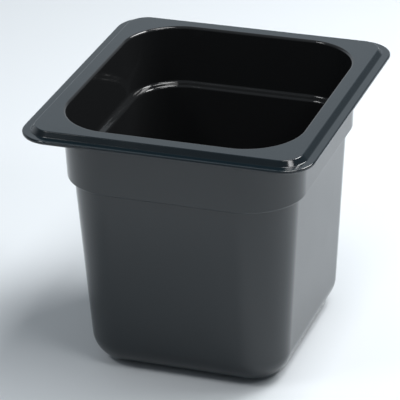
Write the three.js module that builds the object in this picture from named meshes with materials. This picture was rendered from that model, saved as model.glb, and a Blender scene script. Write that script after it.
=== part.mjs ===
// One-sixth size gastronorm food pan, injection moulded in one piece from black polycarbonate.
// Millimetres, +Z up. The origin is the centre of the base; X runs across the short side of the rim.
//
// The pan is one closed shell. Its section is drawn once, as a chain of corners that runs from the
// middle of the floor up the inside, over the rim, down the outside and under the base. Every corner
// has an inset, which is its distance inwards from the outer edge of the rim, and a height. Each point
// of the finished section becomes a rounded rectangle, and the shell is the skin over those outlines.
import * as THREE from 'three';

const { degToRad } = THREE.MathUtils;

// Overall size, over the rim.
const RIM_WIDTH = 162;
const RIM_LENGTH = 176;
const HEIGHT = 150;

// Thickness of the side walls, of the floor and of the raised part of the rim.
const WALL = 2.2;
const FLOOR = 2.5;
const LAND_THICKNESS = 2.2;

// Rim: a thin outer lip, a short bank that rises from it, and the flat land round the mouth.
const RIM_CORNER_RADIUS = 18;
const LIP_WIDTH = 4.5;
const LIP_THICKNESS = 2;
const LIP_DROP = 3;
const BANK_WIDTH = 2.3;
const RIM_FILLET = 0.8;
const MOUTH_FILLET = 1.4;

// Collar: the wider band of wall under the rim, measured where it would meet the top of the land.
const COLLAR_INSET = 12.8;
const COLLAR_CORNER_RADIUS = 33.2;
const COLLAR_DRAFT = degToRad(2);

// Outer shoulder, where the wall steps in under the collar. Drops are measured down from the land.
const SHOULDER_DROP = 37.7;
const SHOULDER_STEP = 3.7;
const SHOULDER_SLOPE = degToRad(20);
const SHOULDER_RADIUS = 1;
const SHOULDER_FOOT_FILLET = 0.6;

// Inner ledge, the matching step inside the pan.
const LEDGE_DROP = 33.6;
const LEDGE_SLOPE = degToRad(20);
const LEDGE_TOP_FILLET = 1.8;
const LEDGE_EDGE_RADIUS = 1.8;

// Body, and the shallow panel that keeps the middle of the base off the table.
const BODY_DRAFT = degToRad(3.6);
const BOTTOM_RADIUS = 16.5;
const BASE_RING_WIDTH = 6;
const BASE_PANEL_DEPTH = 0.6;
const BASE_PANEL_CORNER_RADIUS = 8;

// Facets: sides of each rounded corner in plan, and the largest turn of one facet in the section.
const CORNER_FACETS = 8;
const SECTION_FACET = degToRad(20);

// Outer face of the collar and of the body at a height, as insets from the edge of the rim.
const shoulderHeight = HEIGHT - SHOULDER_DROP;
const collarInset = (height) => COLLAR_INSET + (HEIGHT - height) * Math.tan(COLLAR_DRAFT);
const bodyTopInset = collarInset(shoulderHeight) + SHOULDER_STEP;
const bodyTopHeight = shoulderHeight - SHOULDER_STEP * Math.tan(SHOULDER_SLOPE);
const bodyInset = (height) => bodyTopInset + (bodyTopHeight - height) * Math.tan(BODY_DRAFT);

// A corner of the section. In plan its outline turns about four upright axes, set in from the edge of
// the rim, so its plan radius is its distance from them. All the walls share one set of axes.
const wallAxis = COLLAR_INSET + COLLAR_CORNER_RADIUS;
const corner = (inset, height, fillet, axis) => ({ at: new THREE.Vector2(inset, height), fillet, axis });
const wallCorner = (inset, height, fillet) => corner(inset, height, fillet, wallAxis);
const rimCorner = (inset, height, fillet) => corner(inset, height, fillet, RIM_CORNER_RADIUS);

// Inside of the pan, from the floor up to the edge of the mouth.
function insideCorners() {
  const ledgeHeight = HEIGHT - LEDGE_DROP;
  const ledgeInset = collarInset(ledgeHeight) + WALL;
  // The ledge and the drafted wall below it are two straight lines; this is the drop to their crossing.
  const wallSetback = bodyInset(ledgeHeight) + WALL - ledgeInset;
  const ledgeFall = wallSetback / (1 / Math.tan(LEDGE_SLOPE) - Math.tan(BODY_DRAFT));
  const edgeHeight = ledgeHeight - ledgeFall;
  return [
    wallCorner(bodyInset(FLOOR) + WALL, FLOOR, BOTTOM_RADIUS - WALL),
    wallCorner(bodyInset(edgeHeight) + WALL, edgeHeight, LEDGE_EDGE_RADIUS),
    wallCorner(ledgeInset, ledgeHeight, LEDGE_TOP_FILLET),
    wallCorner(collarInset(HEIGHT) + WALL, HEIGHT, MOUTH_FILLET),
  ];
}

// Rim, from the land outwards, round the lip and back under it to the top of the collar.
function rimCorners() {
  const lipTop = HEIGHT - LIP_DROP;
  const lipBottom = lipTop - LIP_THICKNESS;
  const landBottom = HEIGHT - LAND_THICKNESS;
  const bankAngle = Math.atan2(LIP_DROP, BANK_WIDTH);
  // The underside of the bank is parallel to its top, one lip thickness away.
  const underBank = (height) =>
    LIP_WIDTH + LIP_THICKNESS / Math.sin(bankAngle) + (height - lipTop) / Math.tan(bankAngle);
  return [
    rimCorner(LIP_WIDTH + BANK_WIDTH, HEIGHT, RIM_FILLET),
    rimCorner(LIP_WIDTH, lipTop, RIM_FILLET),
    rimCorner(0, lipTop, RIM_FILLET),
    rimCorner(0, lipBottom, RIM_FILLET),
    rimCorner(underBank(lipBottom), lipBottom, RIM_FILLET),
    rimCorner(underBank(landBottom), landBottom, RIM_FILLET),
    wallCorner(collarInset(landBottom), landBottom, RIM_FILLET),
  ];
}

// Outside of the pan, from the shoulder down and under the base.
function outsideCorners() {
  const baseInset = bodyInset(0);
  const panelInset = baseInset + BOTTOM_RADIUS + BASE_RING_WIDTH;
  const panelAxis = panelInset + BASE_PANEL_CORNER_RADIUS;
  return [
    wallCorner(collarInset(shoulderHeight), shoulderHeight, SHOULDER_RADIUS),
    wallCorner(bodyTopInset, bodyTopHeight, SHOULDER_FOOT_FILLET),
    wallCorner(baseInset, 0, BOTTOM_RADIUS),
    corner(panelInset, 0, 0, panelAxis),
    corner(panelInset + BASE_PANEL_DEPTH, BASE_PANEL_DEPTH, 0, panelAxis),
  ];
}

// The points that replace one corner: the corner itself, or an arc tangent to both of its sides.
function filletPoints(before, { at, fillet, axis }, after) {
  if (fillet === 0) {
    return [{ at, axis }];
  }
  const towardsBefore = before.at.clone().sub(at).normalize();
  const towardsAfter = after.at.clone().sub(at).normalize();
  const halfAngle = Math.acos(THREE.MathUtils.clamp(towardsBefore.dot(towardsAfter), -1, 1)) / 2;
  const bisector = towardsBefore.clone().add(towardsAfter).normalize();
  const centre = at.clone().addScaledVector(bisector, fillet / Math.sin(halfAngle));
  const start = at.clone().addScaledVector(towardsBefore, fillet / Math.tan(halfAngle)).sub(centre);
  const end = at.clone().addScaledVector(towardsAfter, fillet / Math.tan(halfAngle)).sub(centre);
  const sweep = Math.atan2(start.cross(end), start.dot(end));
  const facets = Math.ceil(Math.abs(sweep) / SECTION_FACET);
  return Array.from({ length: facets + 1 }, (_, i) => ({
    at: start.clone().rotateAround(new THREE.Vector2(), (sweep * i) / facets).add(centre),
    axis,
  }));
}

// The whole section. Its two ends lie on the flat floor and on the flat base.
function sectionPoints() {
  const corners = [...insideCorners(), ...rimCorners(), ...outsideCorners()];
  const floorEnd = wallCorner(wallAxis, FLOOR, 0);
  return corners.flatMap((each, i) =>
    filletPoints(corners[i - 1] ?? floorEnd, each, corners[i + 1] ?? each));
}

// Rounded rectangle for one point of the section, counterclockwise from above.
function outline({ at, axis }) {
  const radius = axis - at.x;
  const cornerX = RIM_WIDTH / 2 - axis;
  const cornerY = RIM_LENGTH / 2 - axis;
  const signs = [[1, 1], [-1, 1], [-1, -1], [1, -1]];
  return signs.flatMap(([signX, signY], quarter) =>
    Array.from({ length: CORNER_FACETS + 1 }, (_, i) => {
      const angle = (quarter + i / CORNER_FACETS) * (Math.PI / 2);
      return new THREE.Vector3(
        signX * cornerX + radius * Math.cos(angle),
        signY * cornerY + radius * Math.sin(angle),
        at.y,
      );
    }));
}

// Skin over a stack of outlines with equal counts, closed at both ends by a fan about its centre.
function skin(outlines) {
  const count = outlines[0].length;
  const last = outlines.length - 1;
  const points = outlines.flat();
  const triangles = [];
  for (let level = 0; level < last; level += 1) {
    for (let i = 0; i < count; i += 1) {
      const here = level * count + i;
      const next = level * count + ((i + 1) % count);
      triangles.push(here, here + count, next + count, here, next + count, next);
    }
  }
  const startCentre = points.push(new THREE.Vector3(0, 0, outlines[0][0].z)) - 1;
  const endCentre = points.push(new THREE.Vector3(0, 0, outlines[last][0].z)) - 1;
  for (let i = 0; i < count; i += 1) {
    const next = (i + 1) % count;
    triangles.push(startCentre, i, next);
    triangles.push(endCentre, last * count + next, last * count + i);
  }
  const geometry = new THREE.BufferGeometry().setFromPoints(points);
  geometry.setIndex(triangles);
  geometry.computeVertexNormals();
  return geometry;
}

const blackPolycarbonate = new THREE.MeshStandardMaterial({ color: 0x24272a, roughness: 0.35, metalness: 0 });

const foodPan = new THREE.Mesh(skin(sectionPoints().map(outline)), blackPolycarbonate);
foodPan.name = 'food_pan';

const part = new THREE.Group();
part.add(foodPan);

export default part;
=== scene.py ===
# %% [markdown]
# # A black food pan for a delicatessen counter
#
# The object is a one-sixth size gastronorm pan. It is one piece of black polycarbonate, made by
# injection moulding, so it has no joints and no separate parts: what there is to get right is the
# shape of one thin skin and the way light plays on it. The cells below load the exact CAD frame,
# draw the skin finely over it, give it its finishes, and set it on a pale table in a light tent.

import math

import bpy
from mathutils import Matrix, Vector


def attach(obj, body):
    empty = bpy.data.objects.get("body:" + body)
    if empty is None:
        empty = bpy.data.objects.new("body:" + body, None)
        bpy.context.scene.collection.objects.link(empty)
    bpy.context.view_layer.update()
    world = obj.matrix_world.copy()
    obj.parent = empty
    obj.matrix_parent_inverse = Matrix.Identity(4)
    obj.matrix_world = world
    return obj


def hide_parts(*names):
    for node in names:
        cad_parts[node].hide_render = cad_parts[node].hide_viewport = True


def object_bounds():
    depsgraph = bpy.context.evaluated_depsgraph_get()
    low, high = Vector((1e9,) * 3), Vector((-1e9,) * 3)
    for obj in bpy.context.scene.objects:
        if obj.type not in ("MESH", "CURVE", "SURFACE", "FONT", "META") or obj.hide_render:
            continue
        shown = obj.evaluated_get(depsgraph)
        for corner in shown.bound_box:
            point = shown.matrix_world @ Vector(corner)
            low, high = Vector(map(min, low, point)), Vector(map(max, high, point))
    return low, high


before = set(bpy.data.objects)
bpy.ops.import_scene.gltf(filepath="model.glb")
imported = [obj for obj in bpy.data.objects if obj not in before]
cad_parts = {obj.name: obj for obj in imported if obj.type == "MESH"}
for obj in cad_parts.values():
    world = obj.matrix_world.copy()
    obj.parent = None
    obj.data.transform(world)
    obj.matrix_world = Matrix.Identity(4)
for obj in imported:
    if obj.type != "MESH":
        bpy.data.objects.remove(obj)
cad_low, cad_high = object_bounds()
print("CAD box, mm:", [round(1000 * side, 2) for side in cad_high - cad_low])

# %% [markdown]
# ## Sizes
#
# The CAD model holds the true sizes, so the three overall ones are read from its box. The others
# repeat the sizes that the pan is designed from. An inset is a distance inwards from the outer edge
# of the rim, and a drop is a distance down from the top. Everything is in metres, as the frame is,
# so each size is written in millimetres and multiplied by MM.

# %% Sizes of the pan
MM = 0.001
RIM_WIDTH, RIM_LENGTH, HEIGHT = cad_high - cad_low

WALL = 2.2 * MM
FLOOR_THICKNESS = 2.5 * MM
LAND_THICKNESS = 2.2 * MM

RIM_CORNER_RADIUS = 18 * MM
LIP_WIDTH = 4.5 * MM
LIP_THICKNESS = 2 * MM
LIP_DROP = 3 * MM
BANK_WIDTH = 2.3 * MM
RIM_FILLET = 0.8 * MM
MOUTH_FILLET = 1.4 * MM

COLLAR_INSET = 12.8 * MM
COLLAR_CORNER_RADIUS = 33.2 * MM
COLLAR_DRAFT = math.radians(2)

SHOULDER_DROP = 37.7 * MM
SHOULDER_STEP = 3.7 * MM
SHOULDER_SLOPE = math.radians(20)
SHOULDER_RADIUS = 1 * MM
SHOULDER_FOOT_FILLET = 0.6 * MM

LEDGE_DROP = 33.6 * MM
LEDGE_SLOPE = math.radians(20)
LEDGE_TOP_FILLET = 1.8 * MM
LEDGE_EDGE_RADIUS = 1.8 * MM

BODY_DRAFT = math.radians(3.6)
BOTTOM_RADIUS = 16.5 * MM
BASE_RING_WIDTH = 6 * MM
BASE_PANEL_DEPTH = 0.6 * MM
BASE_PANEL_CORNER_RADIUS = 8 * MM
BASE_PANEL_FILLET = 0.3 * MM

WALL_AXIS = COLLAR_INSET + COLLAR_CORNER_RADIUS
SHOULDER_HEIGHT = HEIGHT - SHOULDER_DROP
print("plan radius of the mouth, mm:", round((COLLAR_CORNER_RADIUS - WALL) / MM, 1))


# %% [markdown]
# ## Where the walls stand
#
# A moulded wall is never upright. It leans outwards by a small angle, the draft, so that the part
# slides off its steel core. The collar under the rim leans by 2 degrees and the body by 3.6. Two
# short functions give the inset of each outer face at any height, and the inner faces stand one wall
# thickness further in. They are in their own cell because the section below uses them everywhere.

# %% Insets of the outer faces
def collar_inset(height):
    return COLLAR_INSET + (HEIGHT - height) * math.tan(COLLAR_DRAFT)


BODY_TOP_INSET = collar_inset(SHOULDER_HEIGHT) + SHOULDER_STEP
BODY_TOP_HEIGHT = SHOULDER_HEIGHT - SHOULDER_STEP * math.tan(SHOULDER_SLOPE)


def body_inset(height):
    return BODY_TOP_INSET + (BODY_TOP_HEIGHT - height) * math.tan(BODY_DRAFT)


print("body inset at the shoulder and the base, mm:",
      [round(body_inset(height) / MM, 2) for height in (BODY_TOP_HEIGHT, 0)])


# %% [markdown]
# ## The section
#
# The pan could be cut out of a block with booleans, or extruded and bevelled, but its corners change
# radius with height, and a bevel would lose that. Instead the section is drawn once, as a chain of
# corners from the middle of the floor, up the inside, over the rim and down the outside. Each corner
# has its own fillet. In plan the outline turns about four upright axes, so a corner also says how
# far in from the rim its axes stand. All the walls share one set, and the rim has a tighter one.

# %% Corners of the section
def wall_corner(inset, height, fillet):
    return Vector((inset, height)), fillet, WALL_AXIS


def rim_corner(inset, height, fillet):
    return Vector((inset, height)), fillet, RIM_CORNER_RADIUS


def inside_corners():
    ledge_height = HEIGHT - LEDGE_DROP
    ledge_inset = collar_inset(ledge_height) + WALL
    setback = body_inset(ledge_height) + WALL - ledge_inset
    edge_height = ledge_height - setback / (1 / math.tan(LEDGE_SLOPE) - math.tan(BODY_DRAFT))
    return [
        wall_corner(body_inset(FLOOR_THICKNESS) + WALL, FLOOR_THICKNESS, BOTTOM_RADIUS - WALL),
        wall_corner(body_inset(edge_height) + WALL, edge_height, LEDGE_EDGE_RADIUS),
        wall_corner(ledge_inset, ledge_height, LEDGE_TOP_FILLET),
        wall_corner(collar_inset(HEIGHT) + WALL, HEIGHT, MOUTH_FILLET),
    ]


def rim_corners():
    lip_top = HEIGHT - LIP_DROP
    lip_bottom = lip_top - LIP_THICKNESS
    land_bottom = HEIGHT - LAND_THICKNESS
    bank_angle = math.atan2(LIP_DROP, BANK_WIDTH)

    def under_bank(height):
        return LIP_WIDTH + LIP_THICKNESS / math.sin(bank_angle) + (height - lip_top) / math.tan(bank_angle)

    return [
        rim_corner(LIP_WIDTH + BANK_WIDTH, HEIGHT, RIM_FILLET),
        rim_corner(LIP_WIDTH, lip_top, RIM_FILLET),
        rim_corner(0, lip_top, RIM_FILLET),
        rim_corner(0, lip_bottom, RIM_FILLET),
        rim_corner(under_bank(lip_bottom), lip_bottom, RIM_FILLET),
        rim_corner(under_bank(land_bottom), land_bottom, RIM_FILLET),
        wall_corner(collar_inset(land_bottom), land_bottom, RIM_FILLET),
    ]


def outside_corners():
    panel_inset = body_inset(0) + BOTTOM_RADIUS + BASE_RING_WIDTH
    panel_axis = panel_inset + BASE_PANEL_CORNER_RADIUS
    return [
        wall_corner(collar_inset(SHOULDER_HEIGHT), SHOULDER_HEIGHT, SHOULDER_RADIUS),
        wall_corner(BODY_TOP_INSET, BODY_TOP_HEIGHT, SHOULDER_FOOT_FILLET),
        wall_corner(body_inset(0), 0, BOTTOM_RADIUS),
        (Vector((panel_inset, 0)), BASE_PANEL_FILLET, panel_axis),
        (Vector((panel_inset + BASE_PANEL_DEPTH, BASE_PANEL_DEPTH)), BASE_PANEL_FILLET, panel_axis),
    ]


print("the section has", len(inside_corners() + rim_corners() + outside_corners()), "corners")


# %% [markdown]
# ## Rounding the section
#
# Every corner of a moulding is rounded, and these small radii carry the bright lines that make the
# pan read as plastic. A fillet is an arc that touches both sides of its corner, so it is worked out
# from the two directions and the radius. Each point keeps the direction that the skin faces there:
# with true directions stored, a flat side is shaded flat right up to its fillet. It also notes how
# much the corner stands out, from 0 to 1, because a sharp outer edge is where a pan gets worn.

# %% Points of the rounded section
FACET = math.radians(6)
SHARP_RADIUS = 2 * MM


def fillet_points(before, corner, after):
    at, radius, axis = corner
    to_before = (before - at).normalized()
    to_after = (after - at).normalized()
    half = to_before.angle(to_after) / 2
    centre = at + (to_before + to_after).normalized() * (radius / math.sin(half))
    start = at + to_before * (radius / math.tan(half)) - centre
    end = at + to_after * (radius / math.tan(half)) - centre
    sweep = math.atan2(start.x * end.y - start.y * end.x, start.dot(end))
    # The solid is on the left of the chain, so an arc that turns left is an outer corner.
    outer = sweep > 0
    steps = math.ceil(abs(sweep) / FACET)
    points = []
    for i in range(steps + 1):
        arm = Matrix.Rotation(sweep * i / steps, 2) @ start
        facing = arm.normalized() if outer else -arm.normalized()
        exposed = math.sin(math.pi * i / steps) if outer and radius < SHARP_RADIUS else 0
        points.append({"at": centre + arm, "facing": facing, "axis": axis, "exposed": exposed})
    return points


def section_points():
    corners = inside_corners() + rim_corners() + outside_corners()
    chain = [Vector((WALL_AXIS, FLOOR_THICKNESS))]
    chain += [at for at, _, _ in corners]
    chain.append(Vector((WALL_AXIS + BASE_PANEL_CORNER_RADIUS, BASE_PANEL_DEPTH)))
    points = []
    for number, (before, corner, after) in enumerate(zip(chain, corners, chain[2:])):
        for point in fillet_points(before, corner, after):
            point["inside"] = number < len(inside_corners())
            points.append(point)
    return points


section = section_points()
print("the rounded section has", len(section), "points")

# %% [markdown]
# ## From section to skin
#
# At each point of the section the pan's outline is a rectangle with round corners, whose radius is
# what is left between the point and the upright axes. The rings are joined into one closed skin,
# with a flat floor inside and a flat panel under the base. A modifier could round the corners too,
# but here every ring is exact, and each vertex gets the true direction of the surface. Faces inside
# the pan take finish 0, and all the others finish 1.

# %% The skin
CORNER_FACETS = 24
QUARTER_SIGNS = [(1, 1), (-1, 1), (-1, -1), (1, -1)]
AROUND = len(QUARTER_SIGNS) * (CORNER_FACETS + 1)


def ring(point):
    inset, height = point["at"]
    radius = point["axis"] - inset
    places = []
    directions = []
    for quarter, (side_x, side_y) in enumerate(QUARTER_SIGNS):
        axis = Vector((side_x * (RIM_WIDTH / 2 - point["axis"]),
                       side_y * (RIM_LENGTH / 2 - point["axis"]), height))
        for i in range(CORNER_FACETS + 1):
            turn = (quarter + i / CORNER_FACETS) * math.pi / 2
            outwards = Vector((math.cos(turn), math.sin(turn), 0))
            places.append(axis + outwards * radius)
            directions.append(Vector((0, 0, point["facing"].y)) - outwards * point["facing"].x)
    return places, directions


def skin_faces(points):
    last = (len(points) - 1) * AROUND
    floor = list(range(AROUND))
    base_panel = [last + k for k in reversed(range(AROUND))]
    faces = [floor, base_panel]
    finishes = [0, 1]
    for j in range(len(points) - 1):
        for k in range(AROUND):
            following = (k + 1) % AROUND
            faces.append([j * AROUND + k, (j + 1) * AROUND + k,
                          (j + 1) * AROUND + following, j * AROUND + following])
            finishes.append(0 if points[j + 1]["inside"] else 1)
    return faces, finishes


def make_pan(points):
    rings = [ring(point) for point in points]
    faces, finishes = skin_faces(points)
    mesh = bpy.data.meshes.new("pan_moulding")
    mesh.from_pydata([place for places, _ in rings for place in places], [], faces)
    mesh.polygons.foreach_set("material_index", finishes)
    mesh.polygons.foreach_set("use_smooth", [True] * len(faces))
    mesh.normals_split_custom_set_from_vertices([way for _, ways in rings for way in ways])
    edge = mesh.attributes.new("exposed_edge", "FLOAT", "POINT")
    edge.data.foreach_set("value", [point["exposed"] for point in points for _ in range(AROUND)])
    moulding = bpy.data.objects.new("pan_moulding", mesh)
    bpy.context.collection.objects.link(moulding)
    return moulding


pan = make_pan(section)
print("pan_moulding has", len(pan.data.vertices), "vertices and", len(pan.data.polygons), "faces")

# %% [markdown]
# ## Tools for the finishes
#
# A finish is a small network of nodes that feeds one shader. The first helper turns a colour as it is
# written on a screen, in sRGB, to the linear values that light is added up in. The second adds one
# node with its settings and links, whatever kind of node it is, so that each finish below reads as a
# plain list of what is done to the plastic.

# %% Helpers for colours and nodes
def linear(hex_colour):
    channels = [int(hex_colour[i:i + 2], 16) / 255 for i in (1, 3, 5)]
    return tuple(c / 12.92 if c <= 0.04045 else ((c + 0.055) / 1.055) ** 2.4 for c in channels) + (1,)


def add_node(tree, kind, inputs=None, **settings):
    node = tree.nodes.new(kind)
    for name, value in settings.items():
        setattr(node, name, value)
    for name, value in (inputs or {}).items():
        if isinstance(value, bpy.types.NodeSocket):
            tree.links.new(value, node.inputs[name])
        else:
            node.inputs[name].default_value = value
    return node


def new_finish(name):
    material = bpy.data.materials.new(name)
    material.use_nodes = True
    material.node_tree.nodes.clear()
    return material


print("mid grey in linear light:", [round(c, 4) for c in linear("#808080")[:3]])

# %% [markdown]
# ## Polished black polycarbonate, inside
#
# Polycarbonate is a clear, tough plastic, here coloured through with carbon black. The inside is
# moulded against a steel core that is polished so that food doesn't stick, and the plastic copies it.
# It gives a deep black that mirrors the opposite walls, with only a few hairline scratches from
# ladles. Its refractive index is 1.585, higher than most plastics, so its reflections are strong.

# %% The polished finish
POLYCARBONATE_IOR = 1.585
PIGMENT_BLACK = "#1e1f20"
POLISHED_ROUGHNESS = 0.06
HAIRLINE_ROUGHNESS = 0.12
SCRATCH_SPACING = 5 * MM
WAVE_LENGTH = 28 * MM
INSIDE_WAVE_DEPTH = 0.06 * MM
INSIDE_WAVE_STRENGTH = 0.25


def polished_polycarbonate():
    material = new_finish("polished_black_polycarbonate")
    tree = material.node_tree
    place = add_node(tree, "ShaderNodeTexCoord")
    waves = add_node(tree, "ShaderNodeTexNoise", {
        "Vector": place.outputs["Object"], "Scale": 1 / WAVE_LENGTH, "Detail": 1.0})
    flow = add_node(tree, "ShaderNodeBump", {
        "Height": waves.outputs["Fac"],
        "Strength": INSIDE_WAVE_STRENGTH, "Distance": INSIDE_WAVE_DEPTH})
    scratches = add_node(tree, "ShaderNodeTexNoise", {
        "Vector": place.outputs["Object"], "Scale": 1 / SCRATCH_SPACING, "Detail": 4.0})
    haze = add_node(tree, "ShaderNodeMapRange", {
        "Value": scratches.outputs["Fac"], "From Min": 0.4, "From Max": 0.75,
        "To Min": POLISHED_ROUGHNESS, "To Max": HAIRLINE_ROUGHNESS})
    plastic = add_node(tree, "ShaderNodeBsdfPrincipled", {
        "Base Color": linear(PIGMENT_BLACK), "IOR": POLYCARBONATE_IOR,
        "Roughness": haze.outputs["Result"], "Normal": flow.outputs["Normal"]})
    add_node(tree, "ShaderNodeOutputMaterial", {"Surface": plastic.outputs["BSDF"]})
    return material


polished = polished_polycarbonate()
print(polished.name, "has", len(polished.node_tree.nodes), "nodes")

# %% [markdown]
# ## Semi-gloss black polycarbonate, outside
#
# The outside and the top of the rim are moulded against a cavity with a plainer polish, and they rub
# against counter wells and other pans. So they keep most of the gloss but lose the sharp mirror: the
# walls look like dark slate where they face the table, and turn silvery where they are seen edge on.
# Carbon black with a little blue in it gives the cool cast. The fine scuffing is about 0.1 mm across,
# too fine to show at this distance, so it is drawn at 0.7 mm. Stacking and washing wear the sharp
# edges of the rim and the base, which makes them a little paler.

# %% The semi-gloss finish
PIGMENT_BLUE_BLACK = "#0b171d"
WORN_EDGE = "#20282d"
SEMI_GLOSS_ROUGHNESS = 0.10
RUBBED_ROUGHNESS = 0.16
SCUFF_DRAWN = 0.7 * MM
SCUFF_DEPTH = 0.05 * MM
SCUFF_STRENGTH = 0.05
PATCH_LENGTH = 18 * MM
OUTSIDE_WAVE_DEPTH = 0.1 * MM
OUTSIDE_WAVE_STRENGTH = 0.3


def semi_gloss_polycarbonate():
    material = new_finish("semi_gloss_black_polycarbonate")
    tree = material.node_tree
    place = add_node(tree, "ShaderNodeTexCoord")
    scuffs = add_node(tree, "ShaderNodeTexNoise", {
        "Vector": place.outputs["Object"], "Scale": 1 / SCUFF_DRAWN, "Detail": 2.0})
    waves = add_node(tree, "ShaderNodeTexNoise", {
        "Vector": place.outputs["Object"], "Scale": 1 / WAVE_LENGTH, "Detail": 1.0})
    flow = add_node(tree, "ShaderNodeBump", {
        "Height": waves.outputs["Fac"],
        "Strength": OUTSIDE_WAVE_STRENGTH, "Distance": OUTSIDE_WAVE_DEPTH})
    texture = add_node(tree, "ShaderNodeBump", {
        "Height": scuffs.outputs["Fac"], "Strength": SCUFF_STRENGTH, "Distance": SCUFF_DEPTH,
        "Normal": flow.outputs["Normal"]})
    patches = add_node(tree, "ShaderNodeTexNoise", {
        "Vector": place.outputs["Object"], "Scale": 1 / PATCH_LENGTH, "Detail": 5.0})
    sheen = add_node(tree, "ShaderNodeMapRange", {
        "Value": patches.outputs["Fac"], "From Min": 0.3, "From Max": 0.7,
        "To Min": SEMI_GLOSS_ROUGHNESS, "To Max": RUBBED_ROUGHNESS})
    edge = add_node(tree, "ShaderNodeAttribute", attribute_name="exposed_edge")
    rubbed = add_node(tree, "ShaderNodeMath", {
        0: edge.outputs["Fac"], 1: patches.outputs["Fac"]}, operation="MULTIPLY")
    colour = add_node(tree, "ShaderNodeMix", {
        "Factor": rubbed.outputs["Value"], "A": linear(PIGMENT_BLUE_BLACK), "B": linear(WORN_EDGE)},
        data_type="RGBA")
    plastic = add_node(tree, "ShaderNodeBsdfPrincipled", {
        "Base Color": colour.outputs["Result"], "IOR": POLYCARBONATE_IOR,
        "Roughness": sheen.outputs["Result"], "Normal": texture.outputs["Normal"]})
    add_node(tree, "ShaderNodeOutputMaterial", {"Surface": plastic.outputs["BSDF"]})
    return material


semi_gloss = semi_gloss_polycarbonate()
pan.data.materials.append(polished)
pan.data.materials.append(semi_gloss)
print(semi_gloss.name, "has", len(semi_gloss.node_tree.nodes), "nodes")

# %% [markdown]
# ## Joining the pan to the frame
#
# The finished skin stands for the plain CAD solid, which stays in the frame for collision. The pan
# has no moving parts, so there is one body, and the skin rides on it.

# %% Tie the pan to the frame
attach(pan, "root")
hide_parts("food_pan")

# %% [markdown]
# ## The table and the light tent
#
# Black gloss plastic has almost no colour of its own: it shows what stands round it. So the scene is
# a light tent on a pale table. A pale backdrop stands behind the pan, a little to its left, and shows
# in the flat top of the rim. The rest of the room is dim, which keeps the inside and the front deep.

# %% The table
TABLE_SIZE = 6.0
PALE_LAMINATE = "#e1e6ea"
LAMINATE_ROUGHNESS = 0.85


def make_table():
    half = TABLE_SIZE / 2
    mesh = bpy.data.meshes.new("table_top")
    mesh.from_pydata([(-half, -half, 0), (half, -half, 0), (half, half, 0), (-half, half, 0)],
                     [], [(0, 1, 2, 3)])
    table = bpy.data.objects.new("table_top", mesh)
    bpy.context.collection.objects.link(table)
    laminate = new_finish("pale_matt_laminate")
    tree = laminate.node_tree
    board = add_node(tree, "ShaderNodeBsdfPrincipled", {
        "Base Color": linear(PALE_LAMINATE), "Roughness": LAMINATE_ROUGHNESS})
    add_node(tree, "ShaderNodeOutputMaterial", {"Surface": board.outputs["BSDF"]})
    mesh.materials.append(laminate)
    return table


make_table()

# %% The tent
COOL_CLOTH = "#e4eef6"
ROOM_GLOW = 0.2
BACKDROP_GLOW = 0.85
# The way to the middle of the backdrop, and how far a direction has to lean that way to meet its
# side edge and its full glow. Its top edge fades out between two heights of the same kind.
BACKDROP_WAY = (-0.6, 0.8, 0.0)
SIDE_EDGE, SIDE_FULL = 0.3, 0.8
TOP_EDGE, TOP_FULL = 0.62, 0.42


def make_tent():
    world = bpy.data.worlds.new("light_tent")
    world.use_nodes = True
    tree = world.node_tree
    tree.nodes.clear()
    place = add_node(tree, "ShaderNodeTexCoord")
    sides = add_node(tree, "ShaderNodeSeparateXYZ", {"Vector": place.outputs["Generated"]})
    facing = add_node(tree, "ShaderNodeVectorMath", {
        0: place.outputs["Generated"], 1: BACKDROP_WAY}, operation="DOT_PRODUCT")
    behind = add_node(tree, "ShaderNodeMapRange", {
        "Value": facing.outputs["Value"], "From Min": SIDE_EDGE, "From Max": SIDE_FULL},
        interpolation_type="SMOOTHSTEP")
    below = add_node(tree, "ShaderNodeMapRange", {
        "Value": sides.outputs["Z"], "From Min": TOP_EDGE, "From Max": TOP_FULL},
        interpolation_type="SMOOTHSTEP")
    backdrop = add_node(tree, "ShaderNodeMath", {
        0: behind.outputs["Result"], 1: below.outputs["Result"]}, operation="MULTIPLY")
    glow = add_node(tree, "ShaderNodeMapRange", {
        "Value": backdrop.outputs["Value"], "To Min": ROOM_GLOW, "To Max": BACKDROP_GLOW})
    cloth = add_node(tree, "ShaderNodeBackground", {
        "Color": linear(COOL_CLOTH), "Strength": glow.outputs["Result"]})
    add_node(tree, "ShaderNodeOutputWorld", {"Surface": cloth.outputs["Background"]})
    bpy.context.scene.world = world


make_tent()

# %% [markdown]
# ## The soft boxes
#
# The main light stands behind the pan on its right. It whitens the table there, which is what the
# right-hand wall mirrors, and leaves the front wall in soft shade. A narrow box overhead fills the
# shadow and draws a short bright line on each rounded corner of the mouth. Three small boxes at
# the front and the right put the pairs of thin lines on the inner ledge.

# %% The soft boxes
MIDDLE = (cad_low + cad_high) / 2


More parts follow.
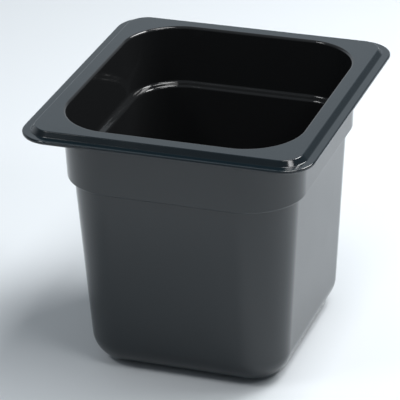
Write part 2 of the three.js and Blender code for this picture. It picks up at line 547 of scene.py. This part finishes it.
def towards(azimuth, elevation):
    """Azimuth 0 is along +X and 90 along +Y, in degrees."""
    turn, lift = math.radians(azimuth), math.radians(elevation)
    return Vector((math.cos(turn) * math.cos(lift), math.sin(turn) * math.cos(lift), math.sin(lift)))


def make_soft_box(name, azimuth, elevation, distance, width, height, radiance):
    """A lit panel that faces the pan: angles in degrees, sizes in metres, radiance in W/(sr m2)."""
    lamp = bpy.data.lights.new(name, "AREA")
    lamp.shape = "RECTANGLE"
    lamp.size = width
    lamp.size_y = height
    lamp.energy = radiance * math.pi * width * height
    box = bpy.data.objects.new(name, lamp)
    way = towards(azimuth, elevation)
    box.location = MIDDLE + way * distance
    box.rotation_mode = "QUATERNION"
    box.rotation_quaternion = way.to_track_quat("Z", "Y")
    bpy.context.collection.objects.link(box)


make_soft_box("light_behind", 50, 52, 1.0, 0.42, 0.36, 14.5)
make_soft_box("light_above", 0, 78, 1.2, 0.8, 0.3, 8.5)
make_soft_box("light_right", -30, 47, 1.2, 0.32, 0.18, 9.0)
make_soft_box("light_left", -138, 50, 1.2, 0.30, 0.18, 12.0)
make_soft_box("light_far_right", 20, 47, 1.2, 0.30, 0.18, 12.0)
print("soft boxes:", [lamp.name for lamp in bpy.data.lights])

# %% [markdown]
# ## The camera
#
# The pan is seen from a little above and from its front right, through a long lens, so that its
# sides stay almost parallel. The lens and the distance go together: a longer lens further away would
# flatten the mouth of the pan.

# %% The camera
AIM = Vector((-7.9, -0.7, 79.0)) * MM
DISTANCE = 1.4997
AZIMUTH, ELEVATION, ROLL = (math.radians(angle) for angle in (19.79, 26.38, -1.55))
LENS_MM = 242.4

camera = bpy.data.objects.new("camera", bpy.data.cameras.new("camera"))
camera.data.lens = LENS_MM
stand = (Matrix.Rotation(AZIMUTH, 4, "Z")
         @ Matrix.Rotation(math.pi / 2 - ELEVATION, 4, "X")
         @ Matrix.Rotation(ROLL, 4, "Z"))
camera.matrix_world = Matrix.Translation(AIM) @ stand @ Matrix.Translation((0, 0, DISTANCE))
bpy.context.collection.objects.link(camera)
bpy.context.scene.camera = camera
bpy.context.scene.view_settings.view_transform = "Standard"
print("camera at, m:", [round(value, 3) for value in camera.matrix_world.translation])
